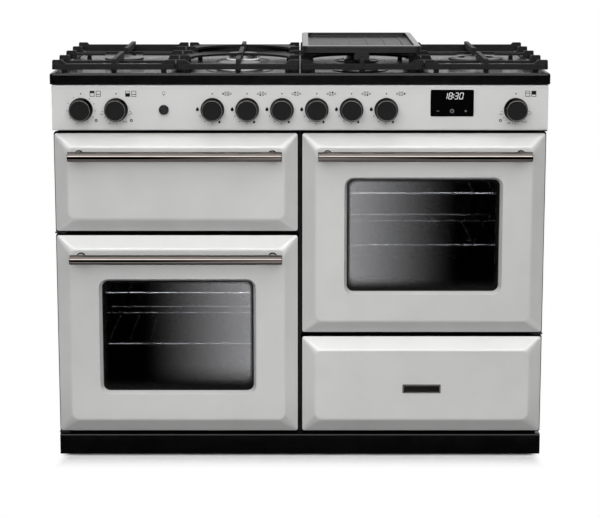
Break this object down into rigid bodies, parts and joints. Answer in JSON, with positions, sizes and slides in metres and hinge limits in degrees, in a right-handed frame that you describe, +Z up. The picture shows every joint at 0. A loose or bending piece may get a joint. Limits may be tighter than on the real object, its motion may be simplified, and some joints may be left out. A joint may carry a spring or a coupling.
{
  "type": "range cooker",
  "caption": "Free-standing dual fuel range cooker with side hung oven doors, a drop down grill door, a storage drawer, turning knobs and lift-off pan supports over a gas hob.",
  "frame": {"origin": "middle of the whole outline on the floor, handles included", "axes": "+X to the right as the user faces the cooker, +Y to the back, +Z up"},
  "size_m": [1.1, 0.655, 0.93],
  "materials": {
    "grey_enamel": "satin light grey paint",
    "black_enamel": "gloss black vitreous enamel",
    "oven_enamel": "speckled dark oven enamel",
    "black_steel": "black painted sheet steel",
    "galvanised_steel": "plain zinc coated sheet",
    "cast_iron": "matt black enamelled cast iron",
    "black_nickel": "black nickel plated tube",
    "knob_black": "black face in a black nickel ring",
    "door_glass": "tinted oven glass",
    "display_glass": "black display lens",
    "chrome_wire": "chromed wire",
    "burner_alloy": "cast aluminium",
    "cap_enamel": "satin black enamel",
    "seal_fibre": "woven glass fibre gasket",
    "heater_steel": "heat stained tube",
    "brass": "plain brass",
    "white_plastic": "moulded plastic",
    "rubber_black": "black nylon",
    "lamp_glass": "clear lamp glass"
  },
  "bodies": {
    "cabinet": {"back_panel": "galvanised_steel", "base_pan": "galvanised_steel", "burner_caps": "cap_enamel", "burner_crowns": "burner_alloy", "burner_cups": "burner_alloy", "clock_display": "display_glass", "control_fascia": "grey_enamel", "drawer_rails": "galvanised_steel", "fan_covers": "oven_enamel", "fan_motors": "galvanised_steel", "front_frame": "black_steel", "gas_manifold": "brass", "grill_cavity": "oven_enamel", "grill_pan": "oven_enamel", "heating_elements": "heater_steel", "hinge_brackets": "black_steel", "hob_tray": "black_enamel", "left_oven_cavity": "oven_enamel", "levelling_feet": "rubber_black", "oven_controls": "galvanised_steel", "oven_lamps": "lamp_glass", "oven_seals": "seal_fibre", "oven_shelves": "chrome_wire", "plinth": "black_enamel", "right_oven_cavity": "oven_enamel", "shelf_ladders": "chrome_wire", "side_panels": "black_steel", "terminal_box": "white_plastic"},
    "left_door": {"left_door_skin": "grey_enamel", "left_door_liner": "oven_enamel", "left_door_glazing": "door_glass", "left_door_handle": "black_nickel"},
    "right_door": {"right_door_skin": "grey_enamel", "right_door_liner": "oven_enamel", "right_door_glazing": "door_glass", "right_door_handle": "black_nickel"},
    "grill_door": {"grill_door_skin": "grey_enamel", "grill_door_liner": "oven_enamel", "grill_door_handle": "black_nickel"},
    "drawer": {"drawer_front": "grey_enamel", "drawer_box": "galvanised_steel", "drawer_slides": "galvanised_steel", "drawer_badge": "black_steel"},
    "grill_knob": {"grill_knob": "knob_black"},
    "left_oven_knob": {"left_oven_knob": "knob_black"},
    "gas_knob_1": {"gas_knob_1": "knob_black"},
    "gas_knob_2": {"gas_knob_2": "knob_black"},
    "gas_knob_3": {"gas_knob_3": "knob_black"},
    "gas_knob_4": {"gas_knob_4": "knob_black"},
    "gas_knob_5": {"gas_knob_5": "knob_black"},
    "gas_knob_6": {"gas_knob_6": "knob_black"},
    "right_oven_knob": {"right_oven_knob": "knob_black"},
    "light_button": {"light_button": "knob_black"},
    "left_pan_support": {"left_pan_support": "cast_iron"},
    "centre_left_pan_support": {"centre_left_pan_support": "cast_iron"},
    "centre_right_pan_support": {"centre_right_pan_support": "cast_iron"},
    "right_pan_support": {"right_pan_support": "cast_iron"},
    "griddle": {"griddle": "cast_iron"},
    "left_oven_fan": {"left_oven_fan": "galvanised_steel"},
    "right_oven_fan": {"right_oven_fan": "galvanised_steel"}
  },
  "joints": [
    {"name": "door_left_swing", "type": "hinge", "parent": "cabinet", "child": "left_door", "pos_m": [-0.5355, -0.2525, 0.284], "axis": [0, 0, -1], "range_deg": [0, 105]},
    {"name": "door_right_swing", "type": "hinge", "parent": "cabinet", "child": "right_door", "pos_m": [0.5355, -0.2525, 0.514], "axis": [0, 0, 1], "range_deg": [0, 105]},
    {"name": "door_grill_drop", "type": "hinge", "parent": "cabinet", "child": "grill_door", "pos_m": [-0.2745, -0.262, 0.536], "axis": [1, 0, 0], "range_deg": [0, 90]},
    {"name": "drawer_slide", "type": "slide", "parent": "cabinet", "child": "drawer", "axis": [0, -1, 0], "range_m": [0, 0.38]},
    {"name": "knob_grill_turn", "type": "hinge", "parent": "cabinet", "child": "grill_knob", "pos_m": [-0.482, -0.2805, 0.794], "axis": [0, -1, 0], "range_deg": [-270, 0]},
    {"name": "knob_left_oven_turn", "type": "hinge", "parent": "cabinet", "child": "left_oven_knob", "pos_m": [-0.4045, -0.2805, 0.794], "axis": [0, -1, 0], "range_deg": [-255, 0]},
    {"name": "knob_gas_1_turn", "type": "hinge", "parent": "cabinet", "child": "gas_knob_1", "pos_m": [-0.19275, -0.2805, 0.794], "axis": [0, -1, 0], "range_deg": [0, 215]},
    {"name": "knob_gas_2_turn", "type": "hinge", "parent": "cabinet", "child": "gas_knob_2", "pos_m": [-0.11625, -0.2805, 0.794], "axis": [0, -1, 0], "range_deg": [0, 215]},
    {"name": "knob_gas_3_turn", "type": "hinge", "parent": "cabinet", "child": "gas_knob_3", "pos_m": [-0.03975, -0.2805, 0.794], "axis": [0, -1, 0], "range_deg": [0, 215]},
    {"name": "knob_gas_4_turn", "type": "hinge", "parent": "cabinet", "child": "gas_knob_4", "pos_m": [0.03675, -0.2805, 0.794], "axis": [0, -1, 0], "range_deg": [0, 215]},
    {"name": "knob_gas_5_turn", "type": "hinge", "parent": "cabinet", "child": "gas_knob_5", "pos_m": [0.11325, -0.2805, 0.794], "axis": [0, -1, 0], "range_deg": [0, 215]},
    {"name": "knob_gas_6_turn", "type": "hinge", "parent": "cabinet", "child": "gas_knob_6", "pos_m": [0.18975, -0.2805, 0.794], "axis": [0, -1, 0], "range_deg": [0, 215]},
    {"name": "knob_right_oven_turn", "type": "hinge", "parent": "cabinet", "child": "right_oven_knob", "pos_m": [0.4745, -0.2805, 0.794], "axis": [0, -1, 0], "range_deg": [-255, 0]},
    {"name": "light_button_press", "type": "slide", "parent": "cabinet", "child": "light_button", "axis": [0, 1, 0], "range_m": [0, 0.0025], "stiffness_N_per_m": 400, "springref_m": -0.001},
    {"name": "lift_left_pan_support", "type": "slide", "parent": "cabinet", "child": "left_pan_support", "axis": [0, 0, 1], "range_m": [0, 0.12]},
    {"name": "lift_centre_left_pan_support", "type": "slide", "parent": "cabinet", "child": "centre_left_pan_support", "axis": [0, 0, 1], "range_m": [0, 0.12]},
    {"name": "lift_centre_right_pan_support", "type": "slide", "parent": "cabinet", "child": "centre_right_pan_support", "axis": [0, 0, 1], "range_m": [0, 0.12]},
    {"name": "lift_right_pan_support", "type": "slide", "parent": "cabinet", "child": "right_pan_support", "axis": [0, 0, 1], "range_m": [0, 0.12]},
    {"name": "lift_griddle", "type": "slide", "parent": "centre_right_pan_support", "child": "griddle", "axis": [0, 0, 1], "range_m": [0, 0.12]},
    {"name": "fan_left_spin", "type": "hinge", "parent": "cabinet", "child": "left_oven_fan", "pos_m": [-0.2745, 0.1815, 0.284], "axis": [0, -1, 0], "continuous": true},
    {"name": "fan_right_spin", "type": "hinge", "parent": "cabinet", "child": "right_oven_fan", "pos_m": [0.2745, 0.1815, 0.514], "axis": [0, -1, 0], "continuous": true}
  ]
}
